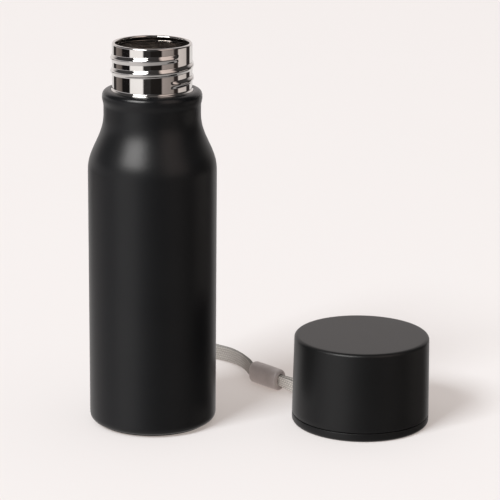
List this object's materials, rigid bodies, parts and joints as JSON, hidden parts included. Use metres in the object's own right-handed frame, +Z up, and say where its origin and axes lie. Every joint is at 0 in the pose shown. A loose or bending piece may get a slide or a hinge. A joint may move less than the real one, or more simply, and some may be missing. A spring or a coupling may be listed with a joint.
{
  "type": "vacuum flask",
  "caption": "Slim double-wall steel vacuum flask standing open beside its insulated screw cap, which carries a woven wrist strap on a swivel ring.",
  "frame": {"origin": "middle of the flask's flat foot, on the surface that the flask and its cap stand on", "axes": "+Z up along the flask's axis, +X from the flask's axis to the cap's axis, +Y away from the viewer"},
  "size_m": [0.1914, 0.1979, 0.2132],
  "materials": {
    "powder_coat": "matt black powder coat with a fine texture",
    "mirror_steel": "mirror-polished stainless steel",
    "liner_steel": "satin stainless steel",
    "copper_foil": "bright copper foil",
    "seal_glass": "dark solder glass",
    "getter_alloy": "sintered grey alloy",
    "cover_plastic": "matt black moulded plastic",
    "pad_rubber": "black non-slip rubber",
    "cap_plastic": "satin black moulded plastic, finely grained",
    "insert_plastic": "dark grey moulded plastic",
    "foam": "white rigid foam",
    "gasket_silicone": "milky translucent silicone",
    "ring_plastic": "satin black moulded plastic",
    "pin_steel": "plain steel",
    "sleeve_silicone": "matt warm grey silicone",
    "webbing": "ribbed warm grey woven webbing"
  },
  "bodies": {
    "flask": {"outer_shell": "powder_coat", "threaded_neck": "mirror_steel", "inner_liner": "liner_steel", "liner_bottom": "liner_steel", "copper_wrap": "copper_foil", "outer_bottom": "liner_steel", "vacuum_seal": "seal_glass", "getter_clip": "liner_steel", "getter_pellet": "getter_alloy", "base_cover": "cover_plastic", "base_pad": "pad_rubber"},
    "strap_holder": {"strap_ring": "ring_plastic", "lug_pin": "pin_steel", "lug_tape": "webbing", "strap_sleeve": "sleeve_silicone", "strap_crimp": "pin_steel", "wrist_strap": "webbing"},
    "cap": {"cap_shell": "cap_plastic", "cap_insert": "insert_plastic", "cap_foam": "foam", "cap_gasket": "gasket_silicone"}
  },
  "joints": [
    {"name": "cap_lift", "type": "slide", "parent": "flask", "child": "strap_holder", "axis": [0, 0, 1], "range_m": [0, 0.06]},
    {"name": "cap_turn", "type": "hinge", "parent": "strap_holder", "child": "cap", "pos_m": [0.116, 0, 0.025], "axis": [0, 0, 1], "continuous": true}
  ]
}
